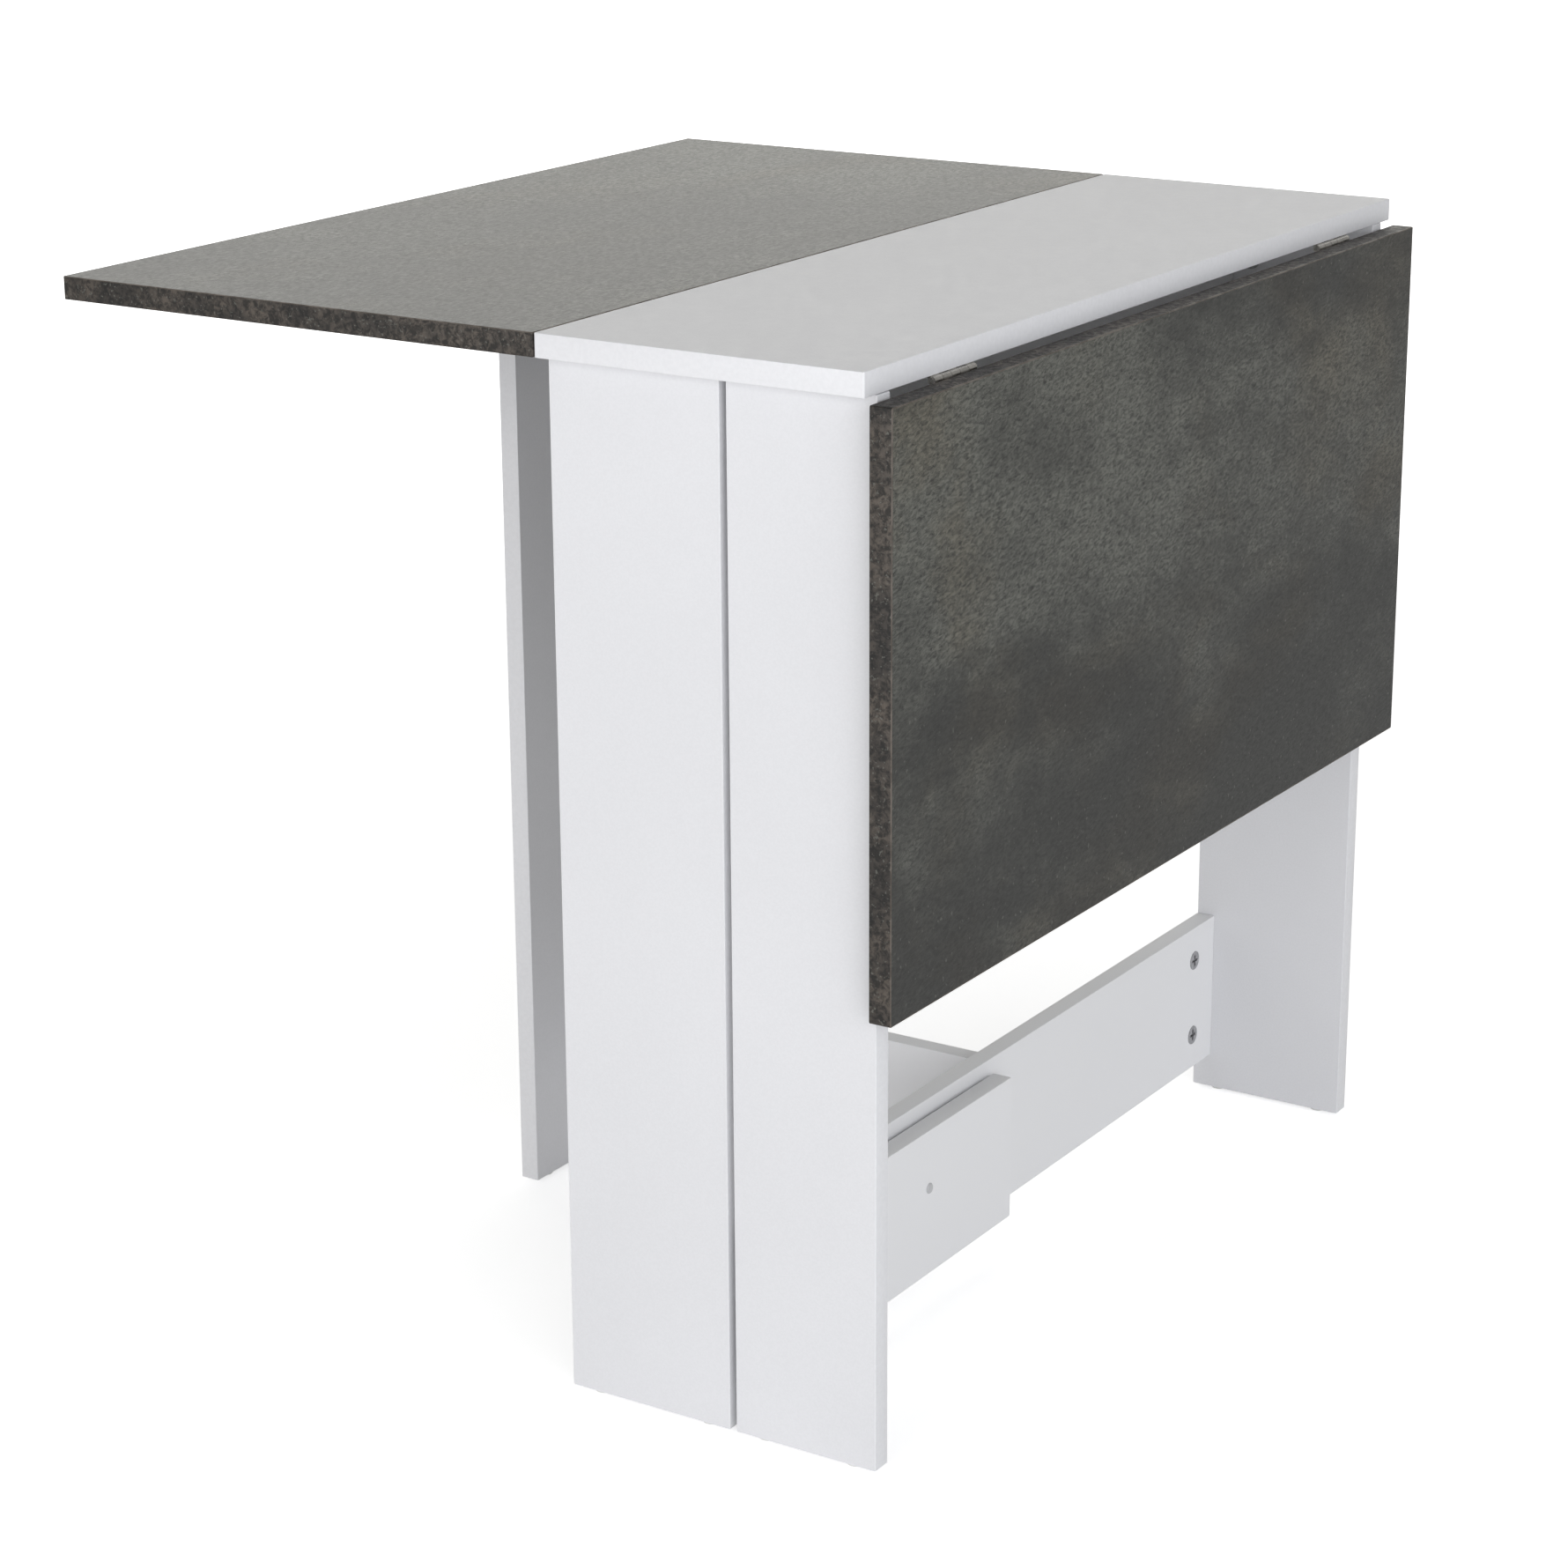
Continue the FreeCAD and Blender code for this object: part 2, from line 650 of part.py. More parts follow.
def make_fixed_panel(end, seats):
    """A fixed end panel and its edge band, drilled in the near end's frame and carried to its own end."""
    frame = END_FRAMES[end]
    name = f"{end}_fixed_panel"
    core, band = banded_board(
        f"{name}_board",
        ("fixed_panel_width", "panel_thickness", "underside - glide_height"),
        ("-half_width", "-panel_face - panel_thickness", "glide_height"),
        flat=1,
    )
    node(name, [cut(f"{name}_drilled", core, seats)], frame)
    node(f"{name}_edge_band", [cut(f"{name}_band_drilled", band, seats)], frame)


def make_rails(seats):
    """The lower and upper rails between the fixed panels."""
    for spot in ("lower", "upper"):
        size = ("rail_thickness", "2 * panel_face", f"{spot}_rail_height")
        corner = ("-rail_face", "-panel_face", f"{spot}_rail_middle - {spot}_rail_height / 2")
        rail = box(f"{spot}_rail_board", size, corner)
        node(f"{spot}_rail", [cut(f"{spot}_rail_drilled", rail, seats)])


# Build: the assemblies
frame_seats = make_frame_fasteners()
make_fixed_hinge_pieces()
make_centre_top(frame_seats)
for table_end in END_FRAMES:
    make_fixed_panel(table_end, frame_seats)
make_rails(frame_seats)
for table_side in LEAF_FRAMES:
    make_leaf(table_side)
    make_leg(table_side)
doc.recompute()


# Check and write
def check_document():
    """Stop if any object of the document failed or any sub-part has no valid solid."""
    for thing in doc.Objects:
        if {"Invalid", "Error"} & set(thing.State):
            raise RuntimeError(f"{thing.Label} failed: {thing.State}")
    for piece in nodes:
        if piece.Shape.isNull() or not piece.Shape.isValid() or not piece.Shape.Solids:
            raise RuntimeError(f"{piece.Label} has no valid solid")


check_document()
os.makedirs("parts", exist_ok=True)
for piece in nodes:
    Part.makeCompound(piece.Shape.Solids).exportStep(f"parts/{piece.Label}.step")
print(len(nodes), "sub-parts written")
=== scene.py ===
import math

import bmesh
import bpy
import numpy as np
from mathutils import Matrix, Vector


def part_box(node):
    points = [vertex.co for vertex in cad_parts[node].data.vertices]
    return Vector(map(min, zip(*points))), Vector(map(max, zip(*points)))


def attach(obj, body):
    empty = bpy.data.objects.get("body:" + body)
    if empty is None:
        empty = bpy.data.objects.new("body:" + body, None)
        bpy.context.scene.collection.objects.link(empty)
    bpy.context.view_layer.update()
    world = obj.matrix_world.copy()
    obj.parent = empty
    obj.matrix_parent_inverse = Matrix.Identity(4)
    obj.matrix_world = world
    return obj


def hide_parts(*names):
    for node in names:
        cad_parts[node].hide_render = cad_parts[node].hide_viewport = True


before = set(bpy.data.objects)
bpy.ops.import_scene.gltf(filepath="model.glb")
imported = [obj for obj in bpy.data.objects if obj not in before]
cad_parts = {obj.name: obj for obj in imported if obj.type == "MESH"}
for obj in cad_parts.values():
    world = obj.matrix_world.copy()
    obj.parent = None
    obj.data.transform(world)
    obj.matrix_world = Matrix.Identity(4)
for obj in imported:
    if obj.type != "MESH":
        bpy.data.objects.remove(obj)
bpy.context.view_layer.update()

bl_info = {
    "name": "Drop-leaf table",
    "version": (1, 0, 0),
    "blender": (4, 5, 0),
    "location": "3D View > Sidebar > Table",
    "description": "Boards, edge bands, fittings and studio of a drop-leaf table",
    "category": "Add Mesh",
}

X, Y, Z = range(3)
WHITE = (1.0, 1.0, 1.0)

# A pattern that isn't drawn out, and one that is neither turned nor shifted.
EVEN = (1.0, 1.0, 1.0)
STILL = (0.0, 0.0, 0.0)

# The leaves' print is drawn out along the table: clouds a little downhill, strokes a little uphill.
CLOUD_SLANT = (-6.0, 0.0, 4.0)
BROAD_LENGTH = (1.0, 1.6, 1.0)
CLOUD_LENGTH = (1.0, 2.8, 1.0)
STROKE_SLANT = (9.0, 0.0, -6.0)
STROKE_LENGTH = (1.0, 2.6, 1.0)

# Where the broad light and dark, and the clouds in them, fall on the leaves.
# The broad light and dark is partly the print's and partly a painted reflection, placed by its shift.
BROAD_PRINT_AND_REFLECTION_SHIFT = (-2.65, -3.24, -1.9)
CLOUD_SHIFT = (0.72, -0.98, -2.78)

# How much the broad light and dark, the clouds and the drifts each count in the leaves' print.
BROAD_WEIGHT = 0.48
CLOUD_WEIGHT = 0.30
DRIFT_WEIGHT = 0.22

# Grain drawn out up the dowels, and over the hinge plates.
DOWEL_GRAIN = (1.0, 1.0, 16.0)
DOWEL_FLECKS = (1.0, 1.0, 7.0)
PLATE_GRAIN = (1.0, 12.0, 12.0)

# Points on the quarter circle of a board's corner and of its band's rounding, and round a hole.
CORNER_STEPS = 6
BAND_STEPS = 5
HOLE_STEPS = 48
QUARTER_TURN = 0.5 * np.pi

# Bevel at the rim of a hole, and a corner's least radius as a share of the board's own.
HOLE_RIM = 0.0002
LEAST_CORNER = 0.1

# How far from a board's face a point may lie and still be on it.
FACE_TOLERANCE = 1e-6

# The softboxes' light: plain white, a little cooler from the right and a little warmer from behind.
COOL_LIGHT = (0.95, 0.97, 1.0)
WARM_LIGHT = (1.0, 0.99, 0.93)

# Where each softbox stands, its width and height, and its light, and the point that all of them face.
SOFTBOXES = {
    "front": ((-0.6, -4.0, 1.3), (3.0, 2.4), WHITE),
    "right": ((3.2, -3.0, 1.2), (2.4, 2.2), COOL_LIGHT),
    "side": ((2.8, -0.6, 1.6), (1.6, 1.6), COOL_LIGHT),
    "back": ((-4.6, 7.4, 3.6), (11.0, 5.4), WARM_LIGHT),
}
SOFTBOX_AIM = (0.0, 0.0, 0.45)

# How far the floor reaches to each side and the camera sees, and the camera's sensor in millimetres.
FLOOR_REACH = 40.0
VIEW_REACH = 200.0
SENSOR_WIDTH = 36.0


# Sizes and colours


def length(name, description, default):
    """A length in metres that a user can change."""
    return bpy.props.FloatProperty(
        name=name, description=description, default=default, unit="LENGTH", precision=5
    )


def colour(name, description, default):
    """A colour, given in linear light."""
    return bpy.props.FloatVectorProperty(
        name=name, description=description, default=default, subtype="COLOR", size=3, min=0.0, max=1.0
    )


def share(name, description, default):
    """A plain factor."""
    return bpy.props.FloatProperty(name=name, description=description, default=default, min=0.0)


def power(name, description, default):
    """A light's power in watts."""
    return bpy.props.FloatProperty(
        name=name, description=description, default=default, unit="POWER", min=0.0
    )


def angle(name, description, degrees):
    """An angle, given in degrees."""
    return bpy.props.FloatProperty(
        name=name, description=description, default=math.radians(degrees), unit="ROTATION"
    )


class TableBoards(bpy.types.PropertyGroup):
    """Edges of the boards and the holes drilled in them."""

    band: length("Edge band", "Thickness of the edge band", 0.0008)
    edge_round: length("Edge rounding", "Radius that the band's corners are rounded to", 0.00055)
    corner_round: length("Corner rounding", "Radius of a board's four corners", 0.0012)
    seam: length("Band seam", "Half width and depth of the fine seam between band and face", 0.00012)
    cam_hole: length("Cam hole", "Radius of the hole that a cam lock sits in", 0.0076)
    cam_hole_depth: length("Cam hole depth", "Depth of a cam lock's hole", 0.0125)
    cam_setback: length("Cam setback", "Distance of a cam lock from the joint that it closes", 0.034)
    lower_cam_spacing: length("Lower cam spacing", "Between the two cam locks of a lower joint", 0.064)
    upper_cam_spacing: length("Upper cam spacing", "Between the two cam locks of an upper joint", 0.032)
    top_cam_spacing: length("Top cam spacing", "Between the two cam locks that hold the top", 0.070)


class TableColours(bpy.types.PropertyGroup):
    """Colours of the finishes."""

    white: colour("White melamine", "Faces of the white boards", (0.77, 0.77, 0.79))
    white_band: colour("White edge band", "Edges of the white boards", (0.79, 0.79, 0.81))
    stone_dark: colour("Stone dark", "Dark clouds of the leaves' faces", (0.020, 0.020, 0.0175))
    stone_light: colour("Stone light", "Light clouds of the leaves' faces", (0.079, 0.080, 0.068))
    stone_brown: colour("Stone brown", "Brown tint laid over the leaves' faces", (1.0, 0.88, 0.74))
    stone_pale: colour("Stone pale", "Pale hairs, specks and grit of the leaves", (0.130, 0.131, 0.114))
    crumb_dark: colour("Crumb dark", "Dark crumbs of the leaves' edge band", (0.009, 0.007, 0.005))
    crumb_light: colour("Crumb light", "Light crumbs of the leaves' edge band", (0.066, 0.053, 0.042))
    # This tone lightens the upper corners of the leaves' band: partly a worn band edge, partly a painted
    # highlight.
    corner_wear_and_highlight: colour("Corner pale", "Worn corners of the leaves' edge band", (0.130, 0.108, 0.090))
    zinc: colour("Zinc", "Plated steel of hinges and screws", (0.58, 0.56, 0.52))
    cast_zinc: colour("Cast zinc", "Cam locks", (0.56, 0.56, 0.57))
    grey_plastic: colour("Grey plastic", "Round caps of the arms", (0.56, 0.56, 0.57))
    white_plastic: colour("White plastic", "Glides", (0.74, 0.74, 0.72))
    beech: colour("Beech", "Dowels", (0.56, 0.40, 0.24))


class TableStudio(bpy.types.PropertyGroup):
    """Floor, light and camera."""

    floor_colour: colour("Floor", "Colour of the floor", (0.98, 0.98, 0.98))
    floor_glow: share("Floor glow", "Brightness of its own that the floor shows near the table", 0.50)
    floor_bounce: share("Floor bounce", "Brightness of its own that the floor casts on the table", 0.09)
    floor_near: length("Floor near", "Distance to which the floor keeps that brightness", 1.2)
    floor_far: length("Floor far", "Distance at which the floor is as bright as the backdrop", 3.2)
    backdrop: share("Backdrop", "Brightness that the white surroundings show", 1.0)
    surroundings: share("Surroundings", "Brightness that the surroundings cast on the table", 0.37)
    front_power: power("Front softbox", "Power of the softbox in front of the near end", 52.0)
    right_power: power("Right softbox", "Power of the softbox at the front right", 50.0)
    side_power: power("Side softbox", "Power of the softbox over the hanging leaf's side", 15.0)
    back_power: power("Back softbox", "Power of the softbox behind the raised leaf", 248.0)
    lens: bpy.props.FloatProperty(
        name="Lens", description="Focal length of the camera", default=87.82, unit="CAMERA"
    )
    camera_place: bpy.props.FloatVectorProperty(
        name="Camera",
        description="Where the camera stands",
        default=(1.2833, -2.2878, 1.1881),
        unit="LENGTH",
    )
    camera_turn: angle("Turn", "Turn of the camera about the vertical", 32.608)
    camera_tilt: angle("Tilt", "Tilt of the camera below the horizon", 17.628)
    camera_roll: angle("Roll", "Roll of the camera", -0.352)


# Finishes


def feed(tree, socket, value):
    """Link an output to a socket, or set a constant on it."""
    if isinstance(value, bpy.types.NodeSocket):
        tree.links.new(value, socket)
    elif socket.type == "RGBA":
        socket.default_value = (*value, 1.0)
    else:
        socket.default_value = value


class Finish:
    """A node material, with short calls for the nodes that the finishes share."""

    def __init__(self, name, roughness, metallic=0.0):
        self.material = bpy.data.materials.new(name)
        self.material.use_nodes = True
        self.tree = self.material.node_tree
        self.shader = self.tree.nodes["Principled BSDF"]
        self.shade("Roughness", roughness)
        self.shade("Metallic", metallic)
        self.place = self.tree.nodes.new("ShaderNodeTexCoord").outputs["Object"]

    def shade(self, name, value):
        """Give the shader's own socket of that name a value."""
        feed(self.tree, self.shader.inputs[name], value)

    def mapped(self, stretch, turn, shift):
        """The piece's own coordinates, shifted, on axes turned by degrees, and drawn out along those."""
        node = self.tree.nodes.new("ShaderNodeMapping")
        node.vector_type = "TEXTURE"
        feed(self.tree, node.inputs["Vector"], self.place)
        node.inputs["Location"].default_value = shift
        node.inputs["Rotation"].default_value = [math.radians(degrees) for degrees in turn]
        node.inputs["Scale"].default_value = stretch
        return node.outputs["Vector"]

    def noise(self, scale, detail=4.0, roughness=0.55, bend=0.0, stretch=EVEN, turn=STILL, shift=STILL):
        """Cloudy noise with that many features to the metre."""
        node = self.tree.nodes.new("ShaderNodeTexNoise")
        feed(self.tree, node.inputs["Vector"], self.mapped(stretch, turn, shift))
        node.inputs["Scale"].default_value = scale
        node.inputs["Detail"].default_value = detail
        node.inputs["Roughness"].default_value = roughness
        node.inputs["Distortion"].default_value = bend
        return node.outputs["Fac"]

    def grade(self, value, low, high, first=0.0, last=1.0):
        """A value's span from low to high, brought to the span from first to last and held there."""
        node = self.tree.nodes.new("ShaderNodeMapRange")
        node.interpolation_type = "SMOOTHSTEP"
        for name, number in zip(("From Min", "From Max", "To Min", "To Max"), (low, high, first, last)):
            node.inputs[name].default_value = number
        feed(self.tree, node.inputs["Value"], value)
        return node.outputs["Result"]

    def span(self, vector):
        """How long a vector is."""
        node = self.tree.nodes.new("ShaderNodeVectorMath")
        node.operation = "LENGTH"
        feed(self.tree, node.inputs[0], vector)
        return node.outputs["Value"]

    def math(self, operation, first, second):
        """Two values joined by a sum, a product or the like."""
        node = self.tree.nodes.new("ShaderNodeMath")
        node.operation = operation
        feed(self.tree, node.inputs[0], first)
        feed(self.tree, node.inputs[1], second)
        return node.outputs["Value"]

    def blend(self, factor, first, second, kind="MIX"):
        """Two colours mixed by a factor."""
        node = self.tree.nodes.new("ShaderNodeMix")
        node.data_type = "RGBA"
        node.blend_type = kind
        feed(self.tree, node.inputs["Factor"], factor)
        colours = [socket for socket in node.inputs if socket.type == "RGBA"]
        feed(self.tree, colours[0], first)
        feed(self.tree, colours[1], second)
        return [socket for socket in node.outputs if socket.type == "RGBA"][0]

    def relief(self, height, depth, strength):
        """Bumps of that depth in metres."""
        node = self.tree.nodes.new("ShaderNodeBump")
        node.inputs["Strength"].default_value = strength
        node.inputs["Distance"].default_value = depth
        feed(self.tree, node.inputs["Height"], height)
        self.shade("Normal", node.outputs["Normal"])

    def colour(self, value):
        """The finish's base colour."""
        self.shade("Base Color", value)

    def gloss(self, value):
        """The finish's roughness, as it varies over the surface."""
        self.shade("Roughness", value)


def darker(tone, factor):
    """A colour scaled towards black."""
    return tuple(channel * factor for channel in tone)


def white_melamine(tone):
    """Satin white board face: faint clouds, a fine pearl and a shallow pressed grain."""
    finish = Finish("white_melamine", roughness=0.46)
    finish.shade("Specular IOR Level", 0.28)
    clouds = finish.grade(finish.noise(5.0, detail=3.0), low=0.3, high=0.7)
    pearl = finish.grade(finish.noise(700.0, detail=2.0), low=0.35, high=0.65)
    base = finish.blend(clouds, darker(tone, 0.975), tone)
    dimmed = finish.blend(1.0, base, darker(WHITE, 0.975), "MULTIPLY")
    finish.colour(finish.blend(pearl, dimmed, base))
    finish.gloss(finish.grade(finish.noise(160.0), low=0.3, high=0.7, first=0.42, last=0.52))
    finish.relief(finish.noise(420.0, detail=3.0), depth=0.00006, strength=0.5)
    return finish.material


def white_edge(tone):
    """White plastic edge band: a little brighter and smoother than the faces, with fine drag marks."""
    finish = Finish("white_edge_band", roughness=0.36)
    marks = finish.grade(finish.noise(300.0, detail=2.0), low=0.35, high=0.65)
    finish.colour(finish.blend(marks, darker(tone, 0.97), tone))
    finish.gloss(finish.grade(finish.noise(90.0), low=0.3, high=0.7, first=0.32, last=0.42))
    finish.relief(marks, depth=0.00003, strength=0.4)
    return finish.material


def stone_depth(finish):
    """How light the leaves' print is: broad light and dark, long clouds and smaller drifts, added up. The
    broad light and dark is partly a painted reflection.
    """
    # Shifted so that its light and dark is partly the print's and partly a painted reflection.
    broad = finish.noise(2.8, detail=2.0, stretch=BROAD_LENGTH, turn=CLOUD_SLANT, shift=BROAD_PRINT_AND_REFLECTION_SHIFT)
    broad = finish.grade(broad, low=0.40, high=0.62)
    clouds = finish.noise(
        13.0, detail=5.0, bend=0.3, stretch=CLOUD_LENGTH, turn=CLOUD_SLANT, shift=CLOUD_SHIFT
    )
    clouds = finish.grade(clouds, low=0.37, high=0.63)
    drifts = finish.noise(
        36.0, detail=8.0, roughness=0.62, bend=0.4, stretch=BROAD_LENGTH, turn=CLOUD_SLANT
    )
    drifts = finish.grade(drifts, low=0.33, high=0.67)
    depth = finish.math("MULTIPLY", broad, BROAD_WEIGHT)
    depth = finish.math("ADD", depth, finish.math("MULTIPLY", clouds, CLOUD_WEIGHT))
    depth = finish.math("ADD", depth, finish.math("MULTIPLY", drifts, DRIFT_WEIGHT))
    return finish.grade(depth, low=0.12, high=0.98)


def stone_laminate(colours):
    """Dark stone print with a pressed relief.

    Broad light and dark, partly a painted reflection, long clouds and smaller drifts lie under short
    strokes along the board. The strokes are strong in the lighter places and faint in the dark ones, with
    fine pale hairs and specks over them.
    """
    finish = Finish("concrete_laminate", roughness=0.4)
    finish.shade("Specular IOR Level", 0.37)
    depth = stone_depth(finish)
    patch = finish.grade(depth, low=0.0, high=0.7, first=0.4)
    tint = finish.noise(7.0, detail=5.0, bend=0.4, stretch=BROAD_LENGTH)
    tint = finish.grade(tint, low=0.46, high=0.66, last=0.8)
    strokes = finish.noise(
        480.0, detail=6.0, roughness=0.66, bend=0.5, stretch=STROKE_LENGTH, turn=STROKE_SLANT
    )
    hairs = finish.noise(
        330.0, detail=5.0, roughness=0.7, bend=1.2, stretch=STROKE_LENGTH, turn=STROKE_SLANT
    )
    hairs = finish.grade(hairs, low=0.56, high=0.82, last=0.6)
    specks = finish.grade(finish.noise(300.0, detail=0.0), low=0.76, high=0.82, last=0.5)

    base = finish.blend(depth, colours.stone_dark[:], colours.stone_light[:])
    browned = finish.blend(1.0, base, colours.stone_brown[:], "MULTIPLY")
    base = finish.blend(tint, base, browned)
    shade = finish.grade(strokes, low=0.22, high=0.78, first=0.1, last=2.0)
    base = finish.blend(1.0, base, finish.blend(patch, WHITE, shade), "MULTIPLY")
    base = finish.blend(finish.math("MULTIPLY", hairs, patch), base, colours.stone_pale[:])
    finish.colour(finish.blend(specks, base, colours.stone_pale[:]))
    finish.gloss(finish.grade(strokes, low=0.3, high=0.7, first=0.45, last=0.36))
    finish.relief(finish.math("MULTIPLY", strokes, patch), depth=0.0008, strength=0.28)
    return finish.material


def stone_edge(colours):
    """Edge band printed with brown crumbs of stone, dark in their gaps, and a scatter of pale grit."""
    finish = Finish("concrete_edge_band", roughness=0.5)
    crumbs = finish.noise(210.0, detail=5.0, roughness=0.7, bend=0.5)
    crumbs = finish.grade(crumbs, low=0.38, high=0.64)
    drifts = finish.grade(finish.noise(30.0, detail=4.0), low=0.36, high=0.64, first=0.45, last=1.35)
    grit = finish.grade(finish.noise(480.0, detail=1.0), low=0.64, high=0.74, last=0.6)
    base = finish.blend(crumbs, colours.crumb_dark[:], colours.crumb_light[:])
    base = finish.blend(1.0, base, drifts, "MULTIPLY")
    finish.colour(finish.blend(grit, base, colours.stone_pale[:]))
    finish.gloss(finish.grade(crumbs, low=0.0, high=1.0, first=0.62, last=0.48))
    finish.relief(crumbs, depth=0.0003, strength=0.4)
    return finish.material


def stone_corner(name, tone, lighter_tone):
    """Trimmed corner of the leaves' edge band: a thin line with wear in places, in tones given for painted
    highlight and shade.
    """
    finish = Finish(name, roughness=0.42)
    wear = finish.grade(finish.noise(60.0, detail=4.0, roughness=0.7), low=0.38, high=0.62)
    finish.colour(finish.blend(wear, tone, lighter_tone))
    finish.gloss(finish.grade(wear, low=0.0, high=1.0, first=0.5, last=0.36))
    finish.relief(finish.noise(500.0), depth=0.0001, strength=0.4)
    return finish.material


def plated_steel(name, tone, roughness, grain=EVEN):
    """Zinc-plated steel: fine drag lines and soft stains in the plating."""
    finish = Finish(name, roughness, metallic=1.0)
    stains = finish.grade(finish.noise(140.0, detail=4.0), low=0.35, high=0.65)
    lines = finish.noise(900.0, detail=2.0, stretch=grain)
    finish.colour(finish.blend(stains, darker(tone, 0.84), tone))
    finish.gloss(finish.grade(lines, low=0.3, high=0.7, first=roughness - 0.07, last=roughness + 0.1))
    finish.relief(lines, depth=0.00002, strength=0.5)
    return finish.material


def cast_metal(name, tone):
    """Die-cast zinc: a slightly pebbled skin and soft darker stains."""
    finish = Finish(name, roughness=0.4, metallic=1.0)
    pebbles = finish.noise(1300.0, detail=3.0)
    stains = finish.grade(finish.noise(260.0), low=0.35, high=0.65)
    finish.colour(finish.blend(stains, darker(tone, 0.78), tone))
    finish.gloss(finish.grade(pebbles, low=0.3, high=0.7, first=0.32, last=0.5))
    finish.relief(pebbles, depth=0.00006, strength=0.6)
    return finish.material


def moulded_plastic(name, tone, roughness):
    """Moulded plastic: a fine spark-eroded skin and a faint cloudiness."""
    finish = Finish(name, roughness)
    clouds = finish.grade(finish.noise(120.0, detail=3.0), low=0.35, high=0.65)
    skin = finish.noise(2200.0, detail=2.0)
    finish.colour(finish.blend(clouds, darker(tone, 0.93), tone))
    finish.gloss(finish.grade(skin, low=0.3, high=0.7, first=roughness - 0.06, last=roughness + 0.08))
    finish.relief(skin, depth=0.00003, strength=0.5)
    return finish.material


def beech_wood(tone):
    """Beech dowel: grain lines along its length with short darker flecks."""
    finish = Finish("beech_dowel", roughness=0.6)
    grain = finish.grade(finish.noise(420.0, detail=4.0, stretch=DOWEL_GRAIN), low=0.3, high=0.7)
    flecks = finish.noise(900.0, detail=1.0, stretch=DOWEL_FLECKS)
    flecks = finish.grade(flecks, low=0.62, high=0.72, last=0.6)
    base = finish.blend(grain, darker(tone, 0.8), tone)
    finish.colour(finish.blend(flecks, base, darker(tone, 0.6)))
    finish.relief(grain, depth=0.0001, strength=0.4)
    return finish.material


# Boards

FACE, EDGE, CORNER, UNDER_CORNER = range(4)


def add_object(name, data):
    """A new object in the scene, at the origin."""
    thing = bpy.data.objects.new(name, data)
    bpy.context.scene.collection.objects.link(thing)
    return thing


def outline(half, inset, corner):
    """Rounded rectangles, one for each inset: a quarter circle about each of four centres in turn.

    The rectangle of half sides less the inset has corners of radius corner less the inset, but never
    none.
    """
    inset = np.asarray(inset)[:, None]
    radius = np.maximum(corner - inset, LEAST_CORNER * corner)
    quarter = np.linspace(0.0, QUARTER_TURN, CORNER_STEPS)
    turned = np.concatenate([quarter + turns * QUARTER_TURN for turns in range(4)])
    side_a = np.repeat([1.0, -1.0, -1.0, 1.0], CORNER_STEPS)
    side_b = np.repeat([1.0, 1.0, -1.0, -1.0], CORNER_STEPS)
    a = side_a * (half[0] - inset - radius) + radius * np.cos(turned)
    b = side_b * (half[1] - inset - radius) + radius * np.sin(turned)
    return a, b


def edge_profile(boards, half_thick):
    """Inset and height from one face over the edge to the other.

    A fine V seam and a quarter circle lead over the upper half, and their mirror image over the lower.
    """
    bend = np.linspace(0.0, QUARTER_TURN, BAND_STEPS)
    seam = boards.seam
    seam_inset = boards.band + np.array([seam, 0.0, -seam])
    inset = np.concatenate([seam_inset, boards.edge_round * (1.0 - np.sin(bend))])
    drop = np.concatenate([[0.0, seam, 0.0], boards.edge_round * (1.0 - np.cos(bend))])
    height = np.concatenate([half_thick - drop, drop[::-1] - half_thick])
    return np.concatenate([inset, inset[::-1]]), height


def hole_rings(boards, half_thick, side):
    """A blind round hole about its middle: a rim wider than the wall, the wall, and its floor's edge."""
    radius = boards.cam_hole + np.array([HOLE_RIM, 0.0, 0.0])[:, None]
    height = side * (half_thick - np.array([0.0, HOLE_RIM, boards.cam_hole_depth])[:, None])
    around = np.linspace(0.0, 4.0 * QUARTER_TURN, HOLE_STEPS, endpoint=False)
    return radius * np.cos(around), radius * np.sin(around), height


def grid_points(a, b, height):
    """The points of a grid, row after row."""
    return np.stack(np.broadcast_arrays(a, b, height), axis=-1).reshape(-1, 3)


def ring_quads(rings, count, start=0):
    """Faces between neighbouring closed rings of count points each."""
    ring, column = np.meshgrid(np.arange(rings - 1), np.arange(count), indexing="ij")
    following = (column + 1) % count
    corners = (ring, column), (ring + 1, column), (ring + 1, following), (ring, following)
    return np.stack([start + r * count + c for r, c in corners], axis=-1).reshape(-1, 4)


def board_axes(nodes, thin):
    """The two axes after the thin one and the thin one, with the board's centre and half sides on them."""
    low = np.min([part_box(node)[0] for node in nodes], axis=0)
    high = np.max([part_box(node)[1] for node in nodes], axis=0)
    order = [(thin + 1) % 3, (thin + 2) % 3, thin]
    return order, (0.5 * (low + high))[order], (0.5 * (high - low))[order]


